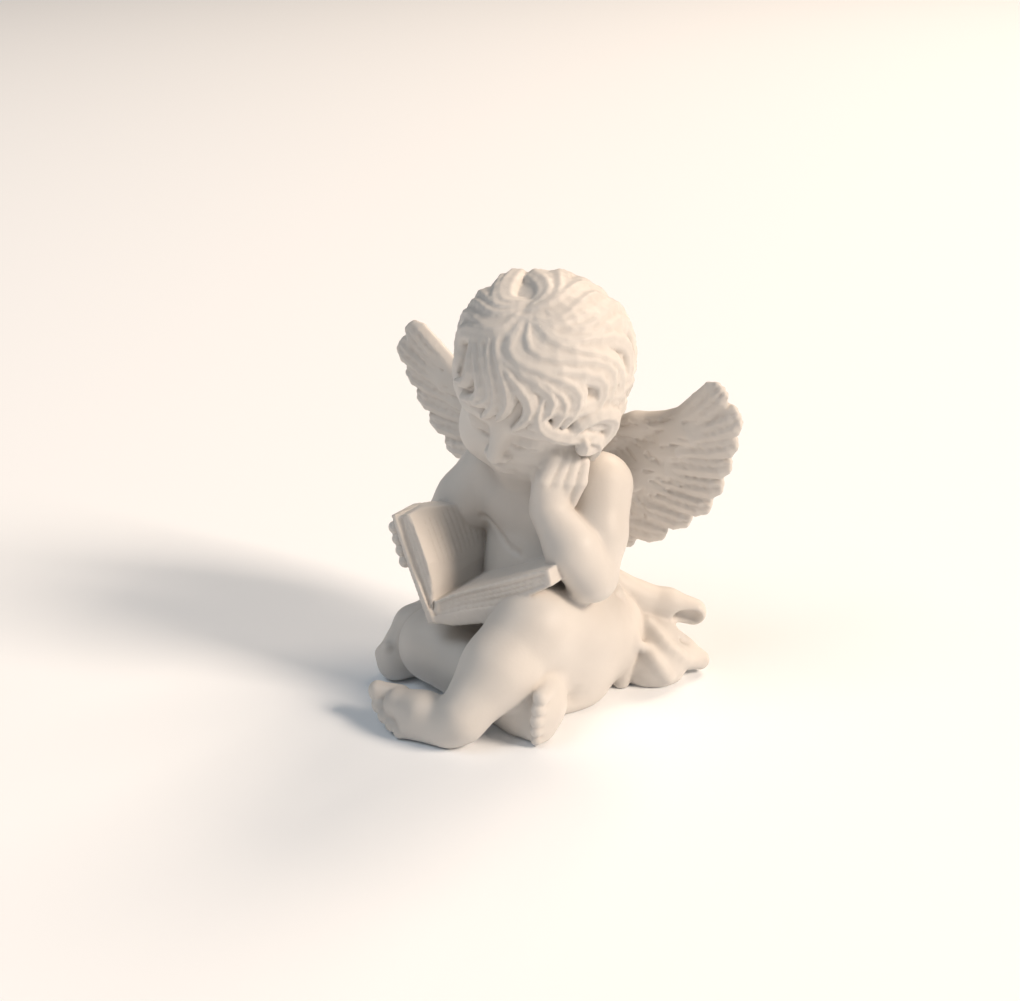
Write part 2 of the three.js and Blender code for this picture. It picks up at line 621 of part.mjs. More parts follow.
// Fills the few cells where the skin would touch itself, until none is left.
function mend(f) {
  const [nx, ny, nz] = f.n;
  const offset = CORNERS.map(([a, b, c]) => (a * ny + b) * nz + c);
  let found = true;
  while (found) {
    found = false;
    for (let i = 0; i < nx - 1; i++) {
      for (let j = 0; j < ny - 1; j++) {
        for (let k = 0; k < nz - 1; k++) {
          const at = (i * ny + j) * nz + k;
          let code = 0;
          offset.forEach((o, c) => {
            code |= f.d[at + o] < 0 ? 1 << c : 0;
          });
          if (SPLIT[code]) {
            found = true;
            offset.forEach((o, c) => {
              if (LOW[2] + (k + CORNERS[c][2]) * STEP > 0) {
                f.d[at + o] = Math.min(f.d[at + o], -0.05 * STEP);
              }
            });
          }
        }
      }
    }
  }
}

// One vertex for each cell that the surface crosses, and one square for each crossed edge.
function skin(f) {
  const [nx, ny, nz] = f.n;
  const offset = CORNERS.map(([a, b, c]) => (a * ny + b) * nz + c);
  const ids = new Int32Array(f.d.length).fill(-1);
  const points = [];
  for (let i = 0; i < nx - 1; i++) {
    for (let j = 0; j < ny - 1; j++) {
      for (let k = 0; k < nz - 1; k++) {
        const at = (i * ny + j) * nz + k;
        const values = offset.map((o) => f.d[at + o]);
        const sum = [0, 0, 0];
        let count = 0;
        for (const [a, b] of EDGES) {
          if (values[a] < 0 !== values[b] < 0) {
            const t = values[a] / (values[a] - values[b]);
            sum.forEach((_, n) => {
              sum[n] += CORNERS[a][n] * (1 - t) + CORNERS[b][n] * t;
            });
            count += 1;
          }
        }
        if (count > 0) {
          const low = [i, j, k].map((v, n) => LOW[n] + v * STEP);
          const p = sum.map((v, n) => low[n] + (v / count) * STEP);
          p[2] = low[2] < 0 ? 0 : p[2];
          ids[at] = points.length;
          points.push(p);
        }
      }
    }
  }
  const squares = [];
  const strides = [ny * nz, nz, 1];
  for (let i = 1; i < nx - 1; i++) {
    for (let j = 1; j < ny - 1; j++) {
      for (let k = 1; k < nz - 1; k++) {
        const at = (i * ny + j) * nz + k;
        strides.forEach((stride, axis) => {
          const inside = f.d[at] < 0;
          if (inside !== f.d[at + stride] < 0) {
            const p = strides[(axis + 1) % 3];
            const q = strides[(axis + 2) % 3];
            const ring = [at - p - q, at - q, at, at - p].map((v) => ids[v]);
            squares.push(inside ? ring : ring.reverse());
          }
        });
      }
    }
  }
  return { points, squares };
}

// Keeps the largest body and leaves out specks and closed hollows.
function largest({ points, squares }) {
  const parent = points.map((_, i) => i);
  const find = (i) => {
    let r = i;
    while (parent[r] !== r) {
      parent[r] = parent[parent[r]];
      r = parent[r];
    }
    return r;
  };
  for (const q of squares) {
    q.forEach((v) => {
      parent[find(v)] = find(q[0]);
    });
  }
  const sizes = new Map();
  for (const q of squares) {
    sizes.set(find(q[0]), (sizes.get(find(q[0])) ?? 0) + 1);
  }
  const best = [...sizes].sort((a, b) => b[1] - a[1])[0][0];
  const faces = [];
  for (const q of squares) {
    if (find(q[0]) === best) {
      const [a, b, c, d] = q.map((i) => vec(points[i]));
      const short = a.distanceTo(c) < b.distanceTo(d);
      if (short) {
        faces.push([q[0], q[1], q[2]], [q[0], q[2], q[3]]);
      } else {
        faces.push([q[0], q[1], q[3]], [q[1], q[2], q[3]]);
      }
    }
  }
  return faces;
}

// The head keeps more of its triangles, for the locks and the face.
function care(p) {
  const near = p.distanceTo(vec(HEAD));
  return near < 42 ? CARE : 1;
}

// Thins the skin by edge collapse, cheapest change of shape first, keeping the underside level.
class Thinner {
  constructor(points, faces) {
    this.p = points.map(vec);
    this.faces = faces;
    this.live = faces.length;
    this.ring = points.map(() => new Set());
    this.q = points.map(() => new Float64Array(10));
    this.stamp = new Int32Array(points.length);
    faces.forEach((f, i) => {
      f.forEach((v) => this.ring[v].add(i));
      const n = this.normal(f);
      const area = n.length() / 2;
      n.normalize();
      const w = -n.dot(this.p[f[0]]);
      const e = [n.x, n.y, n.z, w];
      const scale = (area + 0.02) * care(this.p[f[0]]);
      f.forEach((v) => {
        let at = 0;
        for (let r = 0; r < 4; r++) {
          for (let c = r; c < 4; c++) {
            this.q[v][at] += e[r] * e[c] * scale;
            at += 1;
          }
        }
      });
    });
    this.heap = [];
    faces.forEach((f) => f.forEach((a, i) => {
      if (a < f[(i + 1) % 3]) {
        this.offer(a, f[(i + 1) % 3]);
      }
    }));
  }

  normal(f, moved = null, to = null) {
    const [a, b, c] = f.map((v) => (moved !== null && moved.includes(v) ? to : this.p[v]));
    return b.clone().sub(a).cross(c.clone().sub(a));
  }

  error(q, v) {
    const { x, y, z } = v;
    const square = q[0] * x * x + q[4] * y * y + q[7] * z * z + q[9];
    const cross = q[1] * x * y + q[2] * x * z + q[5] * y * z;
    return square + 2 * (cross + q[3] * x + q[6] * y + q[8] * z);
  }

  place(a, b, q) {
    const level = [a, b].filter((v) => this.p[v].z < 1e-6);
    if (level.length === 1) {
      return this.p[level[0]].clone();
    }
    const m = new THREE.Matrix3().set(q[0], q[1], q[2], q[1], q[4], q[5], q[2], q[5], q[7]);
    const middle = this.p[a].clone().add(this.p[b]).multiplyScalar(0.5);
    const reach = this.p[a].distanceTo(this.p[b]);
    const options = [middle, this.p[a].clone(), this.p[b].clone()];
    if (Math.abs(m.determinant()) > 1e-6) {
      const best = new THREE.Vector3(-q[3], -q[6], -q[8]).applyMatrix3(m.invert());
      if (best.distanceTo(middle) < reach) {
        options.push(best);
      }
    }
    if (level.length === 2) {
      options.forEach((o) => o.setZ(0));
    }
    return options.sort((u, v) => this.error(q, u) - this.error(q, v))[0];
  }

  offer(a, b) {
    const q = this.q[a].map((v, i) => v + this.q[b][i]);
    const to = this.place(a, b, q);
    const cost = this.error(q, to) + 1e-4 * this.p[a].distanceToSquared(this.p[b]);
    this.push({ cost, a, b, to, stamp: this.stamp[a] + this.stamp[b] });
  }

  push(item) {
    const h = this.heap;
    let i = h.length;
    h.push(item);
    while (i > 0 && h[(i - 1) >> 1].cost > item.cost) {
      h[i] = h[(i - 1) >> 1];
      i = (i - 1) >> 1;
    }
    h[i] = item;
  }

  pop() {
    const h = this.heap;
    const top = h[0];
    const last = h.pop();
    let i = 0;
    while (h.length > 0 && 2 * i + 1 < h.length) {
      let c = 2 * i + 1;
      if (c + 1 < h.length && h[c + 1].cost < h[c].cost) {
        c += 1;
      }
      if (h[c].cost >= last.cost) {
        break;
      }
      h[i] = h[c];
      i = c;
    }
    if (h.length > 0) {
      h[i] = last;
    }
    return top;
  }

  around(v) {
    const out = new Set([...this.ring[v]].flatMap((i) => this.faces[i]));
    out.delete(v);
    return out;
  }

  // A collapse is refused where it would fold, pinch or sliver the skin.
  allowed(a, b, to) {
    const near = this.around(a);
    const shared = [...this.around(b)].filter((v) => near.has(v));
    if (shared.length !== 2 || near.size + this.around(b).size > 18) {
      return false;
    }
    for (const i of new Set([...this.ring[a], ...this.ring[b]])) {
      const f = this.faces[i];
      if (f.includes(a) && f.includes(b)) {
        continue;
      }
      const before = this.normal(f);
      const after = this.normal(f, [a, b], to);
      const sides = f.map((v) => (v === a || v === b ? to : this.p[v]));
      const long = Math.max(...sides.map((s, n) => s.distanceToSquared(sides[(n + 1) % 3])));
      if (after.dot(before) < 0.35 * after.length() * before.length() || after.length() < 0.08 * long) {
        return false;
      }
    }
    return true;
  }

  run(target) {
    while (this.live > target && this.heap.length > 0) {
      const { a, b, to, stamp } = this.pop();
      if (this.ring[a] && this.ring[b] && stamp === this.stamp[a] + this.stamp[b] && this.allowed(a, b, to)) {
        this.collapse(a, b, to);
      }
    }
  }

  collapse(a, b, to) {
    for (const i of this.ring[b]) {
      const f = this.faces[i];
      if (f.includes(a)) {
        f.forEach((v) => this.ring[v].delete(i));
        this.faces[i] = null;
        this.live -= 1;
      } else {
        f[f.indexOf(b)] = a;
        this.ring[a].add(i);
      }
    }
    this.ring[b] = null;
    this.p[a] = to;
    this.q[a] = this.q[a].map((v, i) => v + this.q[b][i]);
    this.stamp[a] += this.stamp[b] + 1;
    for (const v of this.around(a)) {
      this.offer(a, v);
    }
  }
}

function geometry() {
  const f = figure();
  mend(f);
  const raw = skin(f);
  const thin = new Thinner(raw.points, largest(raw));
  thin.run(TRIANGLES);
  const out = new Map();
  const positions = [];
  const index = thin.faces.filter(Boolean).flat().map((v) => {
    if (!out.has(v)) {
      out.set(v, out.size);
      positions.push(...thin.p[v].clone().add(vec(SHIFT)).toArray());
    }
    return out.get(v);
  });
  const g = new THREE.BufferGeometry();
  g.setAttribute('position', new THREE.Float32BufferAttribute(positions, 3));
  g.setIndex(index);
  g.computeVertexNormals();
  return g;
}

const stone = new THREE.MeshStandardMaterial({ color: 0xe9e4db, roughness: 0.75, metalness: 0 });
const cherub = new THREE.Mesh(geometry(), stone);
cherub.name = 'cherub';
const part = new THREE.Group();
part.name = 'cherub_statue';
part.add(cherub);
export default part;
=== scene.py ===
"""Seated stone cherub with an open book: the carved surface, its stone, the studio and the camera.

The form is a distance field in millimetres, in the figure's own frame, built from the same rounded
parts as the solid but sampled finer, so that locks, pages, feathers and toes come out crisp.
"""

import bpy
import numpy as np
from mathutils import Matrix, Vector


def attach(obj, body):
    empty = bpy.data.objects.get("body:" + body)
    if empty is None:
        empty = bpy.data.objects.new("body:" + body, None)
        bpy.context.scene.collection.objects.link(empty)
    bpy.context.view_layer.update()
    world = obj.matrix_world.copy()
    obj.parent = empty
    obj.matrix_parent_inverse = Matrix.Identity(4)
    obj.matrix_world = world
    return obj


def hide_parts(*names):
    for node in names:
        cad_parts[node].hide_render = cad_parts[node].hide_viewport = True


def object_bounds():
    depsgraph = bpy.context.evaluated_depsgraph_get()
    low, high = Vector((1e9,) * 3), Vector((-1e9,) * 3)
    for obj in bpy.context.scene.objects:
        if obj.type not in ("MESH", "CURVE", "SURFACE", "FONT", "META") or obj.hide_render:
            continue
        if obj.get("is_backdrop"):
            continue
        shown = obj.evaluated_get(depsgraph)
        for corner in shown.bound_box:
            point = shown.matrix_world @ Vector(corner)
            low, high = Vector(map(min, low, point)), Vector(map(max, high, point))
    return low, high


# ---- sizes -------------------------------------------------------------------------------------
MM = 0.001
STEP = 0.55  # Distance between samples, in mm.
MOST_TRIANGLES = 190000
FAR = 12.0  # Distance given to samples that no shape reaches.
LOW, HIGH = (-82, -76, -5.06), (66, 42, 152)  # Corners of the sampled block.
SHIFT = np.array([10.3, 19.5, 0])  # From the figure's own frame to the shared one.

HEAD = np.array([-0.5, -13.4, 112.7])
NOD, LEAN = 24, 15  # Degrees that the head bows, and leans towards the hand.
CAP, CAP_R = np.array([0, -3, 3]), np.array([25.6, 27.8, 25.8])  # The hair's cap: middle and radii.
SPINE, RAISED = np.array([-22.6, 31.5]), np.array([-36.8, 66.6])  # x and z of the raised leaf's ends.
BOOK_FRONT, BOOK_DEPTH = -46.5, 45
PAGES_BACK = 1.1  # How far the pages lie behind the cover's front edge.
LOW_SLANT = 0.195  # How far the low leaf's front recedes for each mm away from the spine.
WING_AXIS = -8.5  # x of the line between the wings.


# ---- distance field ----------------------------------------------------------------------------
def unit(v):
    v = np.asarray(v, float)
    return v / np.linalg.norm(v)


def soft(a, b, k):
    """The nearer of two distances, rounded over k where they are alike."""
    if k <= 0:
        return np.minimum(a, b)
    h = np.maximum(k - np.abs(a - b), 0) / k
    return np.minimum(a, b) - h * h * k * 0.25


def turn(rx, ry, rz):
    """Rotation matrix for turns about x, then y, then z, in degrees."""
    (cx, cy, cz), (sx, sy, sz) = np.cos(np.radians([rx, ry, rz])), np.sin(np.radians([rx, ry, rz]))
    about_x = np.array([[1, 0, 0], [0, cx, -sx], [0, sx, cx]])
    about_y = np.array([[cy, 0, sy], [0, 1, 0], [-sy, 0, cy]])
    about_z = np.array([[cz, -sz, 0], [sz, cz, 0], [0, 0, 1]])
    return about_z @ about_y @ about_x


class Field:
    """A block of samples of the distance to the surface; inside is negative."""

    def __init__(self, step=STEP):
        self.low, self.step = np.array(LOW, float), step
        self.n = np.ceil((np.array(HIGH) - self.low) / step).astype(int) + 1
        self.axes = [(lo + step * np.arange(n)).astype(np.float32) for lo, n in zip(self.low, self.n)]
        self.d = np.full(self.n, FAR, np.float32)

    def near(self, shape, reach):
        """The samples within reach of a shape, and the shape's distance there."""
        a = np.maximum(np.floor((shape.lo - reach - self.low) / self.step).astype(int), 0)
        b = np.minimum(np.ceil((shape.hi + reach - self.low) / self.step).astype(int) + 1, self.n)
        part = tuple(slice(i, max(i, j)) for i, j in zip(a, b))
        x, y, z = (self.axes[i][part[i]] for i in range(3))
        d = shape.f(x[:, None, None], y[None, :, None], z[None, None, :])
        return part, d.astype(np.float32)

    def add(self, shape, k=0.0):
        part, d = self.near(shape, k + 2.5 * self.step)
        self.d[part] = soft(self.d[part], d, k)

    def cut(self, shape, k=0.0):
        part, d = self.near(shape, k + 2.5 * self.step)
        self.d[part] = -soft(-self.d[part], d, k)

    def join(self, other, k=0.0):
        self.d = soft(self.d, other.d, k)

    def at(self, points):
        """Distance and direction out of the surface at the points."""
        q = (np.asarray(points, float) - self.low) / self.step
        i = np.clip(np.floor(q).astype(int), 1, self.n - 3)
        f = np.clip(q - i, 0, 1)

        def value(o):
            total = 0
            for c in np.ndindex(2, 2, 2):
                w = np.prod(np.where(c, f, 1 - f), axis=1)
                j = i + c + np.array(o)
                total = total + w * self.d[j[:, 0], j[:, 1], j[:, 2]]
            return total

        d = value((0, 0, 0))
        g = np.stack([value(e) - d for e in np.eye(3, dtype=int)], 1)
        return d, g / np.maximum(np.linalg.norm(g, axis=1), 1e-6)[:, None]

    def settle(self, points, depth=0.0):
        """The points moved on to the surface, or to a depth below it."""
        p = np.array(points, float)
        for _ in range(6):
            d, g = self.at(p)
            p -= g * (d + depth)[:, None]
        return p


class Shape:
    """A distance f(x, y, z), and the box outside which it needn't be worked out."""

    def __init__(self, lo, hi, f):
        self.lo, self.hi, self.f = np.asarray(lo, float), np.asarray(hi, float), f


def egg(c, r, m=None):
    """Ellipsoid; the columns of m are its axes."""
    c, r = np.asarray(c, float), np.asarray(r, float)
    m = np.eye(3) if m is None else m
    reach = np.sqrt(((m * r) ** 2).sum(1))

    def f(x, y, z):
        p = [m[0, i] * (x - c[0]) + m[1, i] * (y - c[1]) + m[2, i] * (z - c[2]) for i in range(3)]
        k0 = np.sqrt(sum((v / s) ** 2 for v, s in zip(p, r)))
        k1 = np.sqrt(sum((v / s**2) ** 2 for v, s in zip(p, r)))
        return k0 * (k0 - 1) / np.maximum(k1, 1e-6)

    return Shape(c - reach, c + reach, f)


def rod(points, radii, k=1.0):
    """A chain of round cones through the points, softened by k where they meet."""
    points = np.asarray(points, float)
    radii = np.broadcast_to(np.asarray(radii, float), len(points))

    def piece(i, x, y, z):
        a, ab = points[i], points[i + 1] - points[i]
        length = max(np.linalg.norm(ab), 1e-6)
        s = (radii[i] - radii[i + 1]) / length
        tilt = s / length / np.sqrt(max(1 - s * s, 1e-3))
        p = [x - a[0], y - a[1], z - a[2]]
        t = sum(v * w for v, w in zip(p, ab)) / length**2
        q = np.sqrt(sum((v - w * t) ** 2 for v, w in zip(p, ab)))
        t = np.clip(t - tilt * q, 0, 1)
        radius = radii[i] * (1 - t) + radii[i + 1] * t
        return np.sqrt(sum((v - w * t) ** 2 for v, w in zip(p, ab))) - radius

    def f(x, y, z):
        d = piece(0, x, y, z)
        for i in range(1, len(points) - 1):
            d = soft(d, piece(i, x, y, z), k)
        return d

    return Shape((points - radii[:, None]).min(0), (points + radii[:, None]).max(0), f)


def blade(points, normals, wide, thick, relief=None, k=0.4):
    """A flat strand of elliptic section, raised by relief(u, s): u across from -1 to 1, s mm along."""
    points, normals = np.asarray(points, float), np.asarray(normals, float)
    n = len(points)
    wide, thick = np.broadcast_to(wide, n).astype(float), np.broadcast_to(thick, n).astype(float)
    run = np.concatenate([[0], np.cumsum(np.linalg.norm(np.diff(points, axis=0), axis=1))])

    def piece(i, x, y, z):
        a, ab = points[i], points[i + 1] - points[i]
        ahead = unit(ab)
        up = unit(normals[i] + normals[i + 1])
        up = unit(up - (up @ ahead) * ahead)
        across = np.cross(ahead, up)
        p = [x - a[0], y - a[1], z - a[2]]
        t = np.clip(sum(v * w for v, w in zip(p, ab)) / (ab @ ab), 0, 1)
        e = [v - w * t for v, w in zip(p, ab)]
        w = wide[i] + (wide[i + 1] - wide[i]) * t
        h = thick[i] + (thick[i + 1] - thick[i]) * t
        u = sum(v * s for v, s in zip(e, across)) / w
        g = sum(v * s for v, s in zip(e, ahead)) / h
        v = sum(v * s for v, s in zip(e, up))
        if relief is not None:
            v = v - np.sign(v) * relief(np.clip(u, -1, 1), run[i] + (run[i + 1] - run[i]) * t)
        v = v / h
        k1 = np.sqrt((u / w) ** 2 + (v / h) ** 2 + (g / h) ** 2)
        q = np.sqrt(u * u + v * v + g * g)
        return q * (q - 1) / np.maximum(k1, 1e-6)

    def f(x, y, z):
        d = piece(0, x, y, z)
        for i in range(1, n - 1):
            d = soft(d, piece(i, x, y, z), k)
        return d

    reach = max(wide.max(), thick.max()) + 0.6
    return Shape(points.min(0) - reach, points.max(0) + reach, f)


def slab(outline, front, depth, slant=0.0):
    """A prism over an outline in x and z, from y = front back; slant is its shift in y per mm of x."""
    poly = np.asarray(outline, float)
    after = np.roll(poly, -1, axis=0)

    def f(x, y, z):
        near, sign = 1e9, 1.0
        for (ax, az), (bx, bz) in zip(poly, after):
            ex, ez, wx, wz = bx - ax, bz - az, x - ax, z - az
            t = np.clip((wx * ex + wz * ez) / (ex * ex + ez * ez), 0, 1)
            near = np.minimum(near, (wx - ex * t) ** 2 + (wz - ez * t) ** 2)
            over = (z >= az) & (z < bz) & (ex * wz > ez * wx)
            under = (z < az) & (z >= bz) & (ex * wz < ez * wx)
            sign = np.where(over | under, -sign, sign)
        flat = sign * np.sqrt(near) + 0 * y
        side = np.abs(y - front - slant * (x - SPINE[0]) - depth / 2) - depth / 2 + 0 * z
        out = np.sqrt(np.maximum(flat, 0) ** 2 + np.maximum(side, 0) ** 2)
        return out + np.minimum(np.maximum(flat, side), 0)

    far = slant * (poly[:, 0].max() - SPINE[0])
    lo = [poly[:, 0].min(), front - 1, poly[:, 1].min()]
    return Shape(lo, [poly[:, 0].max(), front + depth + far + 1, poly[:, 1].max()], f)


def box(c, half, m):
    """A block; the columns of m are its axes."""
    c, half = np.asarray(c, float), np.asarray(half, float)
    reach = np.abs(m * half).sum(1)

    def f(x, y, z):
        p = [m[0, i] * (x - c[0]) + m[1, i] * (y - c[1]) + m[2, i] * (z - c[2]) for i in range(3)]
        q = [np.abs(v) - h for v, h in zip(p, half)]
        out = np.sqrt(sum(np.maximum(v, 0) ** 2 for v in q))
        return out + np.minimum(np.maximum(np.maximum(q[0], q[1]), q[2]), 0)

    return Shape(c - reach, c + reach, f)


def curve(points, n):
    """n points along a smooth curve through the points."""
    p = np.asarray(points, float)
    p = np.vstack([2 * p[0] - p[1], p, 2 * p[-1] - p[-2]])
    q = np.linspace(0, len(p) - 3, n)
    i = np.minimum(q.astype(int), len(p) - 4)
    t = (q - i)[:, None]
    a, b, c, d = p[i], p[i + 1], p[i + 2], p[i + 3]
    bend, twist = 2 * a - 5 * b + 4 * c - d, 3 * b - a - 3 * c + d
    return 0.5 * (2 * b + (c - a) * t + bend * t**2 + twist * t**3)


def skin(field):
    """The surface where the distance is zero: one point for each cell it crosses, and quads."""
    d, inside = field.d, field.d < 0
    halves = (slice(0, -1), slice(1, None))
    count = np.zeros(field.n - 1, np.uint8)
    for c in np.ndindex(2, 2, 2):
        count += inside[tuple(halves[i] for i in c)]
    cells = np.argwhere((count > 0) & (count < 8))
    index = np.full(field.n - 1, -1, np.int64)
    index[tuple(cells.T)] = np.arange(len(cells))
    total, hits = np.zeros((len(cells), 3)), np.zeros(len(cells))
    for c in np.ndindex(2, 2, 2):
        for axis in range(3):
            if c[axis]:
                continue
            step = np.eye(3, dtype=int)[axis]
            a, b = d[tuple((cells + c).T)], d[tuple((cells + c + step).T)]
            cross = (a < 0) != (b < 0)
            part = np.where(cross, a / np.where(cross, a - b, 1), 0)
            total += (np.array(c) + part[:, None] * step) * cross[:, None]
            hits += cross
    points = field.low + (cells + total / hits[:, None]) * field.step
    quads = []
    for axis in range(3):
        near, far = [slice(None)] * 3, [slice(None)] * 3
        near[axis], far[axis] = halves
        edges = np.argwhere(inside[tuple(near)] != inside[tuple(far)])
        o1, o2 = np.eye(3, dtype=int)[(axis + 1) % 3], np.eye(3, dtype=int)[(axis + 2) % 3]
        ring = [index[tuple((edges + s).T)] for s in (-o1 - o2, -o2, 0 * o1, -o1)]
        ring = np.stack(ring, 1)
        out = ~inside[tuple(edges.T)]
        ring[out] = ring[out][:, ::-1]
        quads.append(ring)
    return points, np.vstack(quads)


# ---- body --------------------------------------------------------------------------------------
def torso(f):
    f.add(egg([-2, 4, 20], [22, 18, 19]))
    f.add(egg([-3, -4, 38], [22.5, 19.5, 21]), 8)
    f.add(egg([-5, -2, 60], [20.5, 16, 20]), 10)
    f.add(egg([-6, -2, 75], [18, 11.5, 11]), 8)
    f.add(egg([-14, 10, 16], [16, 18, 16]), 5)
    f.add(egg([11, 9, 16], [15, 17, 16]), 5)
    for x in (-14, 4):
        f.add(egg([x, -13, 66], [9, 6, 8]), 6)
    f.add(rod([[-5, -5, 76], [-2, -10, 90]], [12, 10.5]), 6)


def creases(f):
    """Folds of flesh, below the breast and at the neck."""
    for line, r in (
        ([[-19, -14, 62], [-15, -19, 57], [-9, -22, 53.5], [-3, -23, 52]], 0.4),
        ([[-15, -12, 80], [-6, -18, 79], [4, -17, 81]], 0.6),
    ):
        f.cut(rod(f.settle(curve(line, 9)), r, 0.5), 2)


def fingers(f, roots, joints, tips, radii):
    """Four fingers side by side; roots, joints and tips hold the first finger's and the last one's."""
    for i in range(4):
        t = i / 3
        line = [np.array(a) * (1 - t) + np.array(b) * t for a, b in (roots, joints, tips)]
        f.add(rod(line, radii, 0.6), 0.7)


def left_arm(f):
    upper = Field()
    upper.add(rod([[17, -3, 74.5], [21.5, -11, 61], [24, -18, 50]], [11.2, 9.3, 8.2], 3))
    f.join(upper, 5)
    lower = Field()
    lower.add(rod([[24.5, -20, 49.5], [19, -23, 59], [9.5, -23, 71]], [8.6, 8.8, 6.4], 3))
    lower.add(egg([10, -21.5, 78], [6, 8, 9], turn(0, 6, -10)), 3)
    fingers(lower, ([7.6, -26, 73.5], [15.5, -18.5, 73]), ([10.4, -27.6, 83], [18, -18, 81]),
            ([13.3, -25.5, 90.5], [18.6, -16.5, 87]), [1.8, 2.7, 2.2])
    f.join(lower, 1.5)


def right_arm(f):
    arm = Field()
    arm.add(rod([[-23.5, -6, 73], [-31, -11, 62], [-36, -16, 52]], [10.8, 10, 9], 3))
    arm.add(rod([[-36.5, -18, 51], [-37, -29, 51], [-35.5, -36, 55]], [8.6, 7, 5.2], 3), 3)
    for i in range(4):
        root, tip = [-35.5 - 0.5 * i, -35, 49.5 + 3.6 * i], [-34.6 - 1.3 * i, -42, 49 + 3.8 * i]
        arm.add(rod([root, tip], [2.5, 2.3]), 0.8)
    f.join(arm, 4)


def left_leg(f):
    leg = Field()
    leg.add(rod([[13, 3, 18], [13, -16, 25], [11, -33, 33]], [16.5, 16, 14.3], 4))
    leg.add(rod([[16, 0, 14], [14, -14, 12], [12, -30, 22]], [13.5, 13, 12], 4), 4)
    leg.add(rod([[10, -36, 32], [7, -48, 23], [2, -62, 11.5]], [13.5, 12.3, 8.2], 4), 3)
    f.join(leg, 4)
    foot = Field()
    foot.add(rod([[1, -61, 9], [-3, -63, 7.5]], [7.8, 6.8], 3))
    foot.add(rod([[-1, -63.5, 7.5], [-12, -64, 8.4], [-22, -63.6, 8.6]], [7, 6.6, 5.6], 4), 3)
    foot.add(rod([[-3, -64, 4.5], [-15, -67, 4]], [5, 4.2], 2), 3)
    # Toes from the big one out: tip x, y, z and radius.
    toes = [(-31.2, -62.8, 10.2, 3.5), (-29, -65.4, 6.8, 2.7), (-25.4, -67.4, 4.7, 2.4),
            (-21.6, -68.8, 3.3, 2.2), (-17.8, -69.8, 2.2, 2.0)]
    for x, y, z, r in toes:
        line = [[x + 8, y + 1.6, z + 1], [x, y, z], [x - 0.7, y, z + 0.5]]
        foot.add(rod(line, [0.8 * r, r, 0.9 * r], 0.4), 0.6)
    f.join(foot, 3)


def right_leg(f):
    leg = Field()
    leg.add(rod([[-17, 5, 17], [-25, -16, 17], [-29, -32, 16]], [16.5, 15, 12.5], 4))
    leg.add(rod([[-29, -33, 15], [-8, -38, 12], [14, -42, 9]], [12.5, 11, 8], 4), 3)
    f.join(leg, 3)
    foot = Field()
    foot.add(rod([[16, -35, 8], [20, -42, 10]], [7, 7], 3))
    foot.add(egg([21.5, -41, 10.5], [4.5, 11, 10.5], turn(0, 0, 10)), 2)
    foot.add(rod([[-2, -38.5, 5], [12, -42.5, 4.5], [20, -46, 4]], [8, 6.6, 4.6], 3), 3)
    for t in np.linspace(0, 1, 5):
        root = [22.5, -44.5, 17.5 - 15 * t]
        tip = [23.8 - 1.2 * t, -50 - 1.3 * np.sin(3 * t), 18 - 15.4 * t]
        foot.add(rod([root, tip], [2.6 - 0.5 * t, 2.5 - 0.6 * t]), 0.8)
    f.join(foot, 3)


def underside(f):
    """The casting is filled in between the legs, so that it stands on one broad face."""
    f.add(egg([-6, -14, 3], [31, 27, 9]), 4)


# ---- head --------------------------------------------------------------------------------------
def head_axes():
    """Columns: the head's left side, its face and its crown."""
    (cn, cl), (sn, sl) = np.cos(np.radians([NOD, LEAN])), np.sin(np.radians([NOD, LEAN]))
    face, crown, side = np.array([0, -cn, -sn]), np.array([0, -sn, cn]), np.array([1, 0, 0])
    return np.stack([cl * side - sl * crown, face, cl * crown + sl * side], 1)


AXES = head_axes()


def on_head(*p):
    return HEAD + AXES @ np.array(p, float)


def head_egg(p, r, m=None):
    return egg(on_head(*p), r, AXES if m is None else AXES @ m)


def face(h):
    """A calm child's face with its eyes closed, symmetric about the middle of the head."""
    h.add(head_egg((0, -2, 2), (25, 27.5, 26)))
    h.add(head_egg((0, 7, -14), (18.5, 18.5, 18)), 8)
    h.add(head_egg((0, 13.5, -31), (7.5, 7, 6.5)), 8)
    for s in (-1, 1):
        h.add(head_egg((11.5 * s, 12.5, -19.5), (9.6, 10, 11.5)), 6)
        h.add(head_egg((8.5 * s, 22, 1), (8, 4, 3.4)), 4)
        h.cut(head_egg((9.5 * s, 27.5, -6), (6, 4, 3.6)), 4)
        h.add(head_egg((9.3 * s, 20.5, -6.5), (4.6, 4.2, 3.6)), 1.2)
        lid = [on_head((9.3 + 4.6 * t) * s, 26, -7.4 - 1.6 * (1 - t * t))
               for t in np.linspace(-1, 1, 9)]
        h.cut(rod(h.settle(lid), 0.42), 0.5)
    h.add(rod([on_head(0, 23.5, 0), on_head(0, 28, -10)], [2.2, 2.3], 1), 3)
    h.add(head_egg((0, 28.6, -12), (2.6, 2.7, 2.2)), 1.5)
    for s in (-1, 1):
        h.add(head_egg((2.7 * s, 26.6, -12.8), (1.8, 2.4, 1.7)), 1)
        h.cut(head_egg((1.3 * s, 28.2, -14.6), (0.8, 1.2, 0.9)), 0.5)
    h.add(head_egg((0, 23, -18.9), (5.2, 4, 2.0)), 2)
    h.add(head_egg((0, 22, -22), (4.2, 3.6, 2.0)), 2)
    mouth = [on_head(-5.2, 25, -20), on_head(0, 27.2, -20.4), on_head(5.2, 25, -20)]
    h.cut(rod(mouth, [0.5, 0.7, 0.5]), 1)


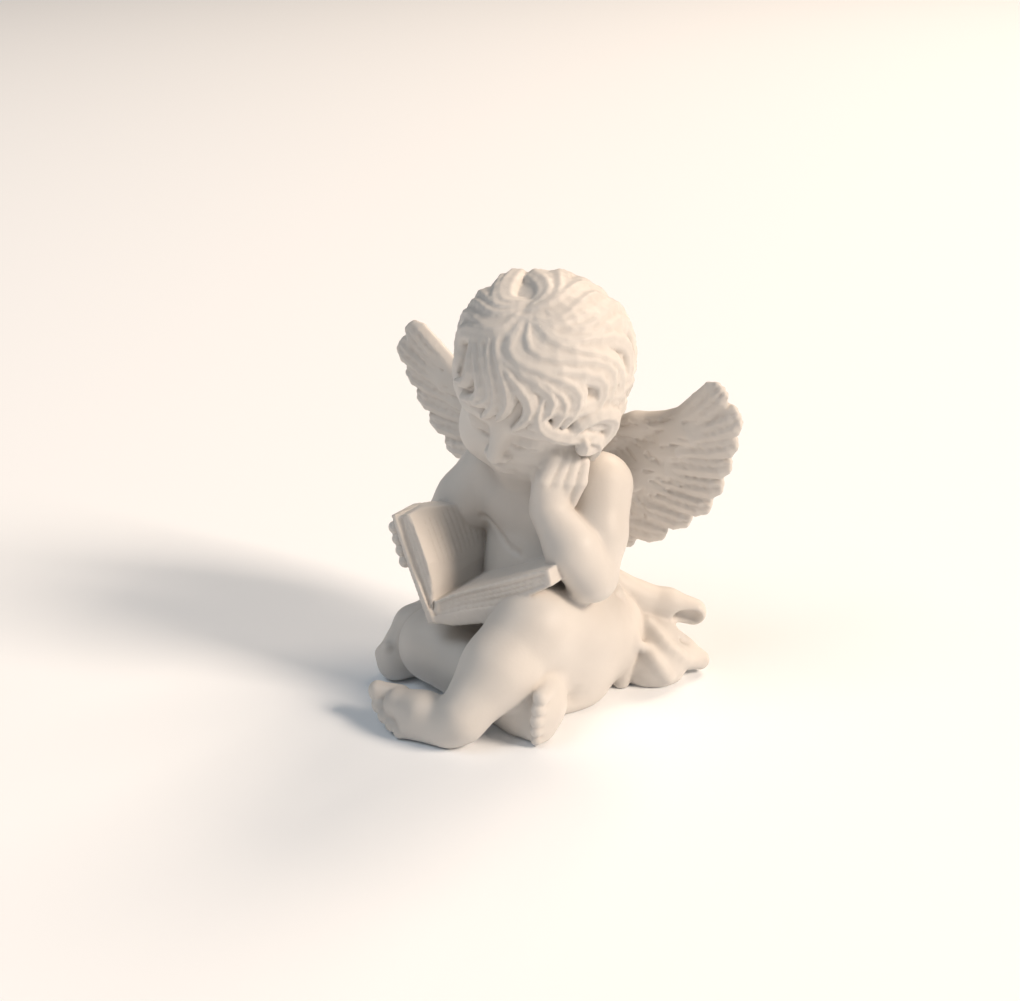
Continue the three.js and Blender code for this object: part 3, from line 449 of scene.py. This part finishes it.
# ---- hair --------------------------------------------------------------------------------------
# Fans of locks: how many, the first and the last root, the first and the last tip, sway, width,
# thickness, and how far off the cap from root to tip. Places on the head are degrees round from the
# face towards the left ear, and degrees up.
FANS = [
    (5, ((-24, 72), (-34, 76)), ((104, 34), (200, 36)), 8, 4.6, 3, [-0.6, 0.4, 0.8, 1.6]),
    (8, ((-34, 68), (-12, 72)), ((-44, 2), (34, 2)), 11, 3.4, 2.9, [0, 0.3, 1, 2.6]),
    (7, ((-14, 72), (10, 84)), ((44, 2), (126, 4)), 13, 4.4, 3.4, [-0.4, 0.4, 1, 3]),
    (5, ((44, 26), (104, 24)), ((60, -6), (116, -22)), 9, 4.2, 3, [-0.6, 0.4, 1.2, 3]),
    (6, ((-40, 74), (-60, 80)), ((-50, 12), (-112, 28)), -9, 4.6, 3.4, [-1, 0.6, 2.2, 1.8]),
    (3, ((58, 6), (82, -12)), ((102, -30), (110, -42)), 6, 4.6, 2.8, [0.8, 2.4, 3]),
]
STAGGER = 4  # Degrees that every second tip hangs lower.
RING, RING_REACH = (64, -14), (18, 9)  # The ring curl's middle, and its first and last radius.
# Rows of waved locks down the back: degrees round from the first, top, foot, how far off the cap.
BACK_ROWS = [(0, 64, -6, [-1.8, -0.2, 0.4, 1.8]), (9.7, 16, -48, [0.2, 0.6, 2.8, 6.2])]
SIDE_ROWS = [(0, 44, 4), (8, 14, -26)]  # The same on the right side, without the last.


def direction(around, up):
    a, b = np.radians([around, up])
    return np.array([np.cos(b) * np.sin(a), np.cos(b) * np.cos(a), np.sin(b)])


def strands(u, s):
    """Fine strands along a lock, closing up towards its edges."""
    return 0.3 * np.cos(2.2 * np.pi * u) * (1 - u * u)


def sweep(root, tip, sway):
    """Directions over the head from root to tip, swaying once to each side on the way."""
    a, b = direction(*root), direction(*tip)
    s = np.linspace(0, 1, 13)[:, None]
    side = unit(np.cross(a, b))
    return a + (b - a) * s + side * np.sin(2 * np.pi * s) * np.radians(sway)


def through(path, count):
    """Directions along a smooth curve through points given in degrees."""
    return curve([direction(a, b) for a, b in path], count)


def lock(h, way, wide, thick, lifts, shape, relief=None, k=0.4):
    """A lock of hair that follows the cap; lifts are how far it stands off, from root to tip."""
    way = way / np.linalg.norm(way, axis=1)[:, None]
    s = np.linspace(0, 1, len(way))
    lifts = np.interp(s, np.linspace(0, 1, len(lifts)), lifts)
    points = [on_head(*(d * (CAP_R + e) + CAP)) for d, e in zip(way, lifts)]
    normals = [AXES @ unit(d / CAP_R) for d in way]
    w, t = shape(s)
    h.add(blade(points, normals, wide * w, thick * t, relief), k)


def leaf(s):
    """A lock that swells from its root and narrows to its tip."""
    belly = np.sin(np.pi * np.clip(0.88 * s + 0.08, 0, 1))
    swell = np.sin(np.pi * np.clip(0.85 * s + 0.1, 0, 1))
    point = 1 - 0.5 * s**5
    return (0.35 + 0.65 * belly**0.7) * point, (0.5 + 0.5 * swell) * point


def curl(s):
    """A lock that keeps its thickness to its tip."""
    w = 0.4 + 0.6 * np.sin(np.pi * np.clip(0.85 * s + 0.1, 0, 1))
    return w, 0.6 * w + 0.4


def hair(h):
    h.add(head_egg(CAP, CAP_R + 0.6))
    h.add(head_egg((0, -18, -10), (20, 10, 16)), 4)
    h.add(head_egg((1, -9, 9), (18, 15, 21.2)), 4)
    h.cut(head_egg((0, 26, -24), (25, 24, 24)), 2)
    h.cut(head_egg((-17, 12, -22), (10, 16, 17)), 2)
    h.add(head_egg((20.5, 0, -8), (6.5, 12, 16)), 3)
    for count, roots, tips, sway, wide, thick, lifts in FANS:
        for i, t in enumerate(np.linspace(0, 1, count)):
            first, last = (np.array(a) * (1 - t) + np.array(b) * t for a, b in (roots, tips))
            way = sweep(first, last - (0, STAGGER * (i % 2)), sway * (1 + 0.4 * np.sin(9 * t)))
            lock(h, way, wide, thick, lifts, leaf, strands, 0.5)
    curls(h)
    waves(h)


def curls(h):
    """A ring curl over the left ear, and a long lock in front of it."""
    angles, reach = np.radians(np.linspace(165, -190, 9)), np.linspace(*RING_REACH, 9)
    ring = [(RING[0] + r * np.cos(a), RING[1] + r * np.sin(a)) for a, r in zip(angles, reach)]
    lock(h, through(ring, 18), 3.4, 3.2, [2, 6.5], curl, strands, 0.6)
    lock(h, sweep((30, 22), (66, -38), 9), 3.2, 2.8, [0.6, 2, 4, 8], curl, strands, 0.6)
    h.cut(head_egg((25, 1, -13), (4, 2.6, 3.4)), 1)


def waves(h):
    """Waved locks, in two rows down the back and two down the right side."""
    for i in range(9):
        start = (124 + 19.5 * i + 180) % 360 - 180
        for shift, top, foot, lifts in BACK_ROWS:
            wave = [(start + shift + 9 * (-1) ** j, top + (foot - top) * j / 3) for j in range(4)]
            lock(h, through(wave, 9), 4.4, 3.3, lifts, leaf)
    for i in range(3):
        for shift, top, foot in SIDE_ROWS:
            a = -60 - 20 * i + shift
            wave = [(a, top), (a - 8, 0.6 * top + 0.4 * foot),
                    (a + 4, 0.3 * top + 0.7 * foot), (a + 10, foot)]
            lock(h, through(wave, 8), 4.6, 3, [0.3, 0.4, 1.7], leaf)


# ---- book --------------------------------------------------------------------------------------
def on_leaf(t, w):
    """A point of the raised leaf's profile: t along it from the spine, w towards the pages."""
    rise = RAISED - SPINE
    return SPINE + rise * t + unit([rise[1], -rise[0]]) * w


def book(b):
    cover = [(-0.02, -0.3), (0.5, -0.5), (1, 0), (1, 1.6), (0.5, 1.2), (-0.02, 2.5)]
    pages = [(0.02, 1), (0.97, 1), (0.97, 6.2), (0.75, 7.2),
             (0.5, 7.2), (0.3, 5.6), (0.17, 3.8), (0.1, 2.4)]
    b.add(slab([on_leaf(*p) for p in cover], BOOK_FRONT, BOOK_DEPTH))
    b.add(slab([on_leaf(*p) for p in pages], BOOK_FRONT + PAGES_BACK, BOOK_DEPTH - 1), 0.3)
    b.cut(box([-30, -24, 70.5], (14, 34, 6), turn(-13, 0, 0)), 0.3)
    under = [(-22.6, 31), (-13.4, 31.6), (-4.6, 34.0), (3, 37), (8, 41.5)]
    middle = [(19.8, 51.6), (9.5, 45), (2.5, 42), (-11.6, 37.3), (-21.8, 33)]
    over = [(-21, 38.4), (-16, 41.6), (-11.6, 44.0), (2.5, 50.2), (12, 54.6), (18.6, 57.2)]
    b.add(slab(under + middle[1:], BOOK_FRONT, BOOK_DEPTH - 1, LOW_SLANT))
    b.add(slab(middle + over, BOOK_FRONT + PAGES_BACK, BOOK_DEPTH - 3, LOW_SLANT), 0.3)
    leaves(b, middle[::-1], over)
    print_rows(b)


def leaves(b, under, over):
    """Grooves between the leaves, along the near edge of both halves of the book."""
    edge = BOOK_FRONT + 1
    for w in (2.1, 3.7, 5.2):
        x, z = np.transpose([on_leaf(t, w + 0.8 * t) for t in np.linspace(0.12, 0.95, 8)])
        b.cut(rod(np.stack([x, 0 * x + edge, z], 1), 0.7, 0.3), 0.2)
    at = np.linspace(-19, 17, 9)
    foot, head = (np.interp(at, *np.transpose(sorted(line))) for line in (under, over))
    for part in (0.28, 0.5, 0.72):
        z = foot + (head - foot) * part
        b.cut(rod(np.stack([at, edge + LOW_SLANT * (at - SPINE[0]), z], 1), 0.7, 0.3), 0.2)


def print_rows(b):
    """Rows of shallow strokes on the raised page, in place of writing."""
    chance = np.random.default_rng(3)
    for y in np.arange(-39, -8, 2.6):
        t = 0.42
        while t < 0.84:
            more = chance.uniform(0.04, 0.12)
            ends = [[x, y, z] for x, z in (on_leaf(t, 9), on_leaf(min(t + more, 0.86), 9))]
            b.cut(rod(b.settle(ends), 0.3, 0.2), 0.15)
            t += more + 0.025


# ---- wings -------------------------------------------------------------------------------------
# Feathers from root through middle to tip, each as distance out from the axis and height, then half
# the width. Coverts, the short feathers over them, have no middle.
FLIGHT = [
    ((44, 93), (53, 101.5), (60, 109), 5.2), ((42, 90), (56, 95.5), (65.2, 100.5), 6.2),
    ((40, 86), (54, 88.5), (63.5, 91.5), 6), ((36, 81), (50, 81.5), (61, 82.5), 6.4),
    ((31, 76), (46, 73.5), (57.5, 73.5), 6.4), ((25, 71), (40, 66.5), (52.5, 64), 6.2),
    ((18, 66), (32, 60.5), (44.5, 56.5), 6.4), ((11, 61), (23, 54), (36, 50.5), 6.4),
    ((7, 56), (14, 50), (25.5, 46.5), 6),
]
COVERT = [
    ((38, 89), (53, 93.5), 4.8), ((34, 84), (48, 86), 4.8), ((29, 78), (44, 78), 5),
    ((23, 73), (38, 69.5), 5), ((16, 68), (29, 62.5), 5), ((10, 62), (21, 55.5), 5),
]


def barbs(u, s):
    """A shaft down the middle of a feather, and slanting barbs on both sides of it."""
    lengthwise = 0.28 * np.cos(3.4 * np.pi * u) * (1 - u**4)
    return lengthwise + 0.12 * np.cos(2 * np.pi * (s / 3.2 - 1.5 * np.abs(u))) * (1 - u * u)


def scratches(w, place):
    """Rough knife cuts over the small feathers, fanning out from the shoulder, on the front."""
    chance = np.random.default_rng(11)
    for _ in range(90):
        away, slope = chance.uniform(10, 46), np.radians(chance.uniform(-62, 14))
        u, z = 2 + away * np.cos(slope), 90 + away * np.sin(slope)
        slope += np.radians(chance.uniform(-28, 28))
        ends = [place(u + t * np.cos(slope), z + t * np.sin(slope)) - [0, 7, 0]
                for t in (0, 1.5, chance.uniform(2.5, 6))]
        w.cut(rod(w.settle(ends), chance.uniform([0.3, 0.3, 0.1], [0.7, 0.6, 0.3]), 0.3), 0.3)


def wing(w, side):
    """A wing in relief on both faces; side is 1 for the left wing and -1 for the right."""

    def place(u, z, y=None):
        """A point u out from the axis at height z; the right wing is wider, and higher at its tip."""
        if side < 0:
            z = z + 2.5 * (u / 62) ** 3
            u = 1.05 * u
        y = 12.8 + 0.24 * (115 - z) * min(1, u / 45) if y is None else y
        return np.array([WING_AXIS + side * u, y, z])

    ahead = [0, -1, 0]
    blades = [place(6, 60, 13), place(16, 72, 16), place(27, 81), place(40, 88), place(53, 97)]
    w.add(blade(blades, [ahead] * 5, [13, 13, 12, 8.5, 6], [4.2, 4.2, 3.6, 3, 2.6], k=0.6))
    arm = [place(8, 72, 12), place(19, 86, 15), place(28, 91), place(42, 93.5), place(52, 101)]
    w.add(rod(arm, [7, 4.6, 3.6, 3, 2.4], 2), 3)
    for root, middle, tip, half in FLIGHT:
        a, m, e = place(*root), place(*middle), place(*tip)
        line = [a, m, 0.3 * m + 0.7 * e, 0.96 * e + 0.04 * m]
        widths = half * np.array([1, 1.05, 1, 0.7])
        w.add(blade(line, [ahead] * 4, widths, [3, 2.8, 2.3, 1.5], barbs, 0.6), 0.4)
    for root, tip, half in COVERT:
        a, e = place(*root), place(*tip)
        for off in (-1.8, 1.8):
            line = [a + [0, off, 0], 0.35 * a + 0.65 * e + [0, off, 0], e + [0, 0.8 * off, 0]]
            widths = half * np.array([1, 1, 0.6])
            w.add(blade(line, [ahead] * 3, widths, [2.2, 2.1, 1.4], k=0.5), 1.2)
    scratches(w, place)


# ---- drapery -----------------------------------------------------------------------------------
def drapery(c):
    """A train from the back of the waist over the left hip, and a fold at the right knee."""
    c.add(egg([29, 15, 6], [13, 13, 11.5]))
    c.add(rod([[13, 11, 34], [21, 18, 26], [30, 24, 23.6], [38, 28, 21]], [5, 6, 5.4, 4.8], 2), 4)
    c.add(rod([[22, 12, 18], [30, 17, 14], [37, 22, 8], [42.5, 25.5, 4.6]], [6, 6, 5, 3.6], 2), 3)
    hem = [[14, 9, 37.5], [20, 4.5, 32.5], [25, 2.5, 26], [28, 1, 17], [25, 1, 2]]
    c.add(rod(hem, [3, 2.6, 2.4, 2.4, 3], 1), 1.2)
    c.cut(rod([[35, 23, 21], [40, 24, 19.5]], [2.2, 3.8], 1), 1.5)
    c.cut(rod([[38, 19, 13.5], [48, 29, 11.5]], [0.6, 3.4], 1), 2)
    for fold in (
        [[30, 12, 22], [36, 11.5, 16], [40, 14, 11], [44, 20, 5]],
        [[30, 4, 20], [35, 5, 12], [40, 8, 4]],
    ):
        c.add(rod(c.settle(curve(fold, 8), 0.5), 1.7, 1), 2.5)
    c.add(rod([[-34, -18, 24], [-41, -30, 19], [-44, -36, 8]], [6, 6.4, 7], 2), 3)
    c.add(rod([[-38, -24, 6], [-44, -37, 5]], [8, 5], 2), 3)
    c.add(rod([[-38, -14, 5], [-30, 8, 5], [-18, 24, 4]], [6, 7, 5], 2), 3)
    c.add(rod([[-44, -41, 14], [-49, -38, 9], [-49, -33, 3]], [1.4, 1.8, 1.6], 1), 2)


def figure():
    """The whole casting, cut off flat at the ground."""
    f = Field()
    for part in (torso, left_arm, right_arm, left_leg, right_leg, underside, creases):
        part(f)
    for part, k in ((face, 3), (hair, 0.5), (book, 0.5)):
        piece = Field()
        part(piece)
        f.join(piece, k)
    for side in (1, -1):
        piece = Field()
        wing(piece, side)
        f.join(piece, 1.5)
    piece = Field()
    drapery(piece)
    f.join(piece, 0.8)
    f.d = np.maximum(f.d, -f.axes[2][None, None, :])
    return f


# ---- Blender -----------------------------------------------------------------------------------
def carved(name, field, low, high):
    """The field's surface as a smooth mesh in metres, thinned, and held inside the solid's box."""
    points, quads = skin(field)
    points = (points + SHIFT) * MM
    mesh = bpy.data.meshes.new(name)
    mesh.from_pydata([], [], [])
    mesh.vertices.add(len(points))
    mesh.vertices.foreach_set("co", points.ravel())
    mesh.loops.add(quads.size)
    mesh.loops.foreach_set("vertex_index", quads.ravel())
    mesh.polygons.add(len(quads))
    mesh.polygons.foreach_set("loop_start", np.arange(0, quads.size, 4))
    mesh.update(calc_edges=True)
    piece = bpy.data.objects.new(name, mesh)
    bpy.context.collection.objects.link(piece)
    thin = piece.modifiers.new("thin", "DECIMATE")
    thin.ratio = min(1, MOST_TRIANGLES / (2 * len(quads)))
    graph = bpy.context.evaluated_depsgraph_get()
    piece.data = bpy.data.meshes.new_from_object(piece.evaluated_get(graph))
    piece.modifiers.clear()
    co = np.empty(3 * len(piece.data.vertices))
    piece.data.vertices.foreach_get("co", co)
    co = np.clip(co.reshape(-1, 3), low, high)
    piece.data.vertices.foreach_set("co", co.ravel())
    piece.data.polygons.foreach_set("use_smooth", [True] * len(piece.data.polygons))
    piece.data.name = name
    return piece


PALE, PALER = (0.60, 0.57, 0.54, 1), (0.70, 0.675, 0.645, 1)
# Painted shade: the brown that hollows and creases are darkened towards.
HOLLOW_SHADE = (0.42, 0.36, 0.31, 1)
FLOOR = (0.91, 0.95, 1.0, 1)
DAYLIGHT = 0.16  # Strength of the even light from all around.


def stone():
    """Pale cast stone: cloudy warm and cool patches, painted shade darkening the hollows, a fine satin
    skin.
    """
    material = bpy.data.materials.new("cast_stone")
    material.use_nodes = True
    tree = material.node_tree
    link = tree.links.new
    shader = tree.nodes["Principled BSDF"]
    place = tree.nodes.new("ShaderNodeTexCoord")
    cloud = tree.nodes.new("ShaderNodeTexNoise")
    cloud.inputs["Scale"].default_value = 22
    cloud.inputs["Detail"].default_value = 5
    link(place.outputs["Object"], cloud.inputs["Vector"])
    tint = tree.nodes.new("ShaderNodeValToRGB")
    tint.color_ramp.elements[0].position = 0.3
    tint.color_ramp.elements[0].color = PALE
    tint.color_ramp.elements[1].position = 0.72
    tint.color_ramp.elements[1].color = PALER
    link(cloud.outputs["Fac"], tint.inputs["Fac"])
    # Painted shade: where the surface is hollow, the base colour is mixed towards a darker brown.
    shape = tree.nodes.new("ShaderNodeNewGeometry")
    hollow = tree.nodes.new("ShaderNodeMapRange")
    hollow.inputs["From Min"].default_value = 0.50
    hollow.inputs["From Max"].default_value = 0.42
    hollow.inputs["To Max"].default_value = 0.55
    link(shape.outputs["Pointiness"], hollow.inputs["Value"])
    painted_shade = tree.nodes.new("ShaderNodeMixRGB")
    painted_shade.inputs["Color2"].default_value = HOLLOW_SHADE
    link(hollow.outputs["Result"], painted_shade.inputs["Fac"])
    link(tint.outputs["Color"], painted_shade.inputs["Color1"])
    link(painted_shade.outputs["Color"], shader.inputs["Base Color"])
    grain = tree.nodes.new("ShaderNodeTexNoise")
    grain.inputs["Scale"].default_value = 900
    grain.inputs["Detail"].default_value = 4
    link(place.outputs["Object"], grain.inputs["Vector"])
    bump = tree.nodes.new("ShaderNodeBump")
    bump.inputs["Strength"].default_value = 0.12
    bump.inputs["Distance"].default_value = 0.0003
    link(grain.outputs["Fac"], bump.inputs["Height"])
    link(bump.outputs["Normal"], shader.inputs["Normal"])
    rough = tree.nodes.new("ShaderNodeMapRange")
    rough.inputs["To Min"].default_value = 0.42
    rough.inputs["To Max"].default_value = 0.62
    link(cloud.outputs["Fac"], rough.inputs["Value"])
    link(rough.outputs["Result"], shader.inputs["Roughness"])
    return material


def floor():
    bpy.ops.mesh.primitive_plane_add(size=6)
    ground = bpy.context.object
    ground.name = "floor"
    material = bpy.data.materials.new("floor")
    material.use_nodes = True
    shader = material.node_tree.nodes["Principled BSDF"]
    shader.inputs["Base Color"].default_value = FLOOR
    shader.inputs["Roughness"].default_value = 0.9
    ground.data.materials.append(material)
    ground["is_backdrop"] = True


# The view: degrees round from the front towards the figure's left, degrees up, distance in metres,
# and the point that it looks at.
VIEW_ROUND, VIEW_UP, VIEW_AWAY = 33, 22, 0.5666
VIEW_AT = (np.array([-8.7, -17.8, 68.3]) + SHIFT) * MM


def toward(around, up):
    """Unit vector: degrees round from the front towards the figure's left, and degrees up."""
    a, e = np.radians([around, up])
    return np.array([np.sin(a) * np.cos(e), -np.cos(a) * np.cos(e), np.sin(e)])


def aim(thing, place, target):
    thing.location = place
    thing.rotation_euler = (Vector(target) - Vector(place)).to_track_quat("-Z", "Y").to_euler()


def camera():
    data = bpy.data.cameras.new("camera")
    data.lens = 60
    data.sensor_width = 36
    eye = bpy.data.objects.new("camera", data)
    bpy.context.collection.objects.link(eye)
    aim(eye, VIEW_AT + VIEW_AWAY * toward(VIEW_ROUND, VIEW_UP), VIEW_AT)
    bpy.context.scene.camera = eye


# Lamps: name, degrees round, degrees up, distance and size in metres, watts, colour.
LAMPS = [
    ("key", 100, 34, 4.0, 1.2, 158.0, (1.0, 0.82, 0.66)),
    ("fill", -30, 55, 4.0, 2.0, 36.0, (0.86, 0.94, 1.0)),
    ("rim", 175, 42, 4.0, 1.6, 85.0, (1.0, 0.80, 0.62)),
]


def lights():
    for name, around, up, away, size, watts, colour in LAMPS:
        data = bpy.data.lights.new(name, "AREA")
        data.size, data.energy, data.color = size, watts, colour
        lamp = bpy.data.objects.new(name, data)
        bpy.context.collection.objects.link(lamp)
        aim(lamp, VIEW_AT + away * toward(around, up), VIEW_AT)
    world = bpy.data.worlds.new("studio")
    world.use_nodes = True
    world.node_tree.nodes["Background"].inputs["Color"].default_value = (1, 1, 1, 1)
    world.node_tree.nodes["Background"].inputs["Strength"].default_value = DAYLIGHT
    bpy.context.scene.world = world
    bpy.context.scene.view_settings.view_transform = "Standard"


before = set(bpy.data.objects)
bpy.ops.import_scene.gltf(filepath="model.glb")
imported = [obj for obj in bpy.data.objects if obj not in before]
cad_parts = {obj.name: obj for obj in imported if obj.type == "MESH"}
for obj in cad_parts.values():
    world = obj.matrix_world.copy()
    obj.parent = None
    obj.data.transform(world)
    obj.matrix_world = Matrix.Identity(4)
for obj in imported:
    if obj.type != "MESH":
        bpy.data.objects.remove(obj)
solid = [list(map(float, corner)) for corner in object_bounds()]
camera()
lights()
floor()
cherub = carved("carved_cherub", figure(), *solid)
cherub.data.materials.append(stone())
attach(cherub, "root")
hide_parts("cherub")
